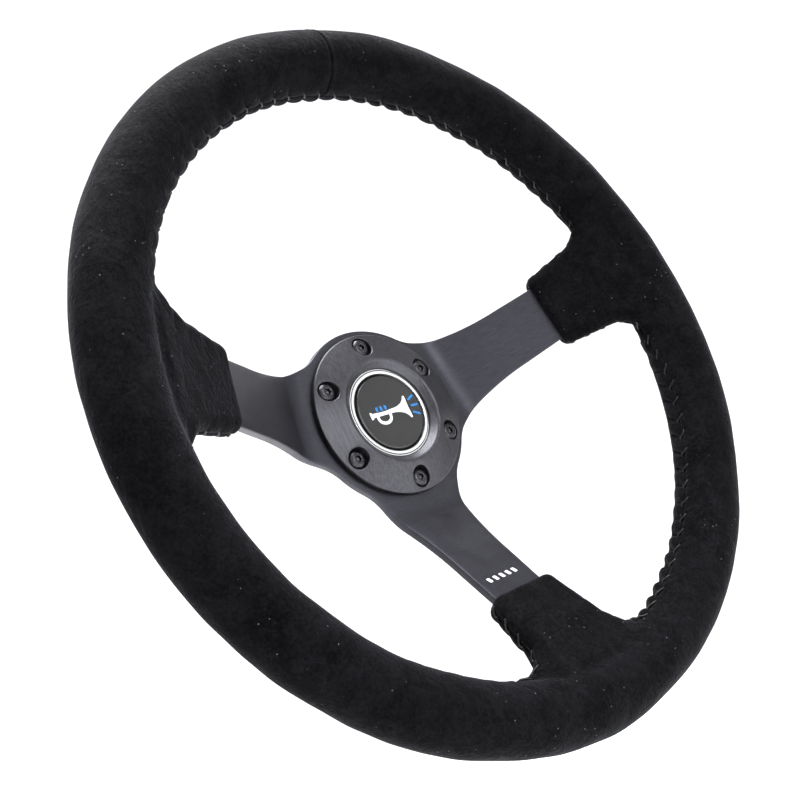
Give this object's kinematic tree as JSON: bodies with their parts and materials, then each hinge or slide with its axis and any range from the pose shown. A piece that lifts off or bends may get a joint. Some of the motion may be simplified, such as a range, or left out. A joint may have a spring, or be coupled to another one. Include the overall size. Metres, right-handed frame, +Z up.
{
  "type": "steering wheel",
  "caption": "Round deep-dish steering wheel with a suede-wrapped rim, bent flat spokes, a bolted hub ring and a sprung horn button.",
  "frame": {"origin": "centre of the six-screw circle, on the rear mounting face of the spoke plate", "axes": "+Y along the wheel's axis towards the column, -Y towards the driver, +Z up at twelve o'clock, +X to the driver's right"},
  "size_m": [0.35, 0.0897, 0.35],
  "materials": {
    "suede": "matte",
    "foam": "matte",
    "thread": "satin",
    "hoop_steel": "satin",
    "black_aluminium": "satin",
    "brushed_black": "satin",
    "black_steel": "satin",
    "chrome": "polished",
    "gloss_black": "gloss",
    "black_plastic": "matte",
    "rubber": "matte",
    "brass": "satin",
    "spring_steel": "polished",
    "brown_board": "satin"
  },
  "bodies": {
    "wheel": {"spoke_plate": "black_aluminium", "rim_hoop": "hoop_steel", "rim_foam": "foam", "boot_pads": "foam", "suede_cover": "suede", "seam_thread": "thread", "horn_ring": "brushed_black", "ring_screws": "black_steel", "button_housing": "black_plastic", "trim_ring": "chrome", "housing_o_ring": "rubber", "horn_spring": "spring_steel", "fixed_contact": "brass", "spring_seat": "spring_steel", "base_insulator": "brown_board", "base_circlip": "spring_steel", "live_terminal": "brass", "earth_terminal": "brass", "terminal_rivets": "spring_steel"},
    "button": {"button_cap": "black_plastic", "cap_dome": "gloss_black", "moving_contact": "brass", "contact_screws": "spring_steel"}
  },
  "joints": [
    {"name": "horn_press", "type": "slide", "parent": "wheel", "child": "button", "axis": [0, 1, 0], "range_m": [0, 0.002], "stiffness_N_per_m": 3000, "springref_m": -0.002, "deforming": ["horn_spring"]}
  ]
}
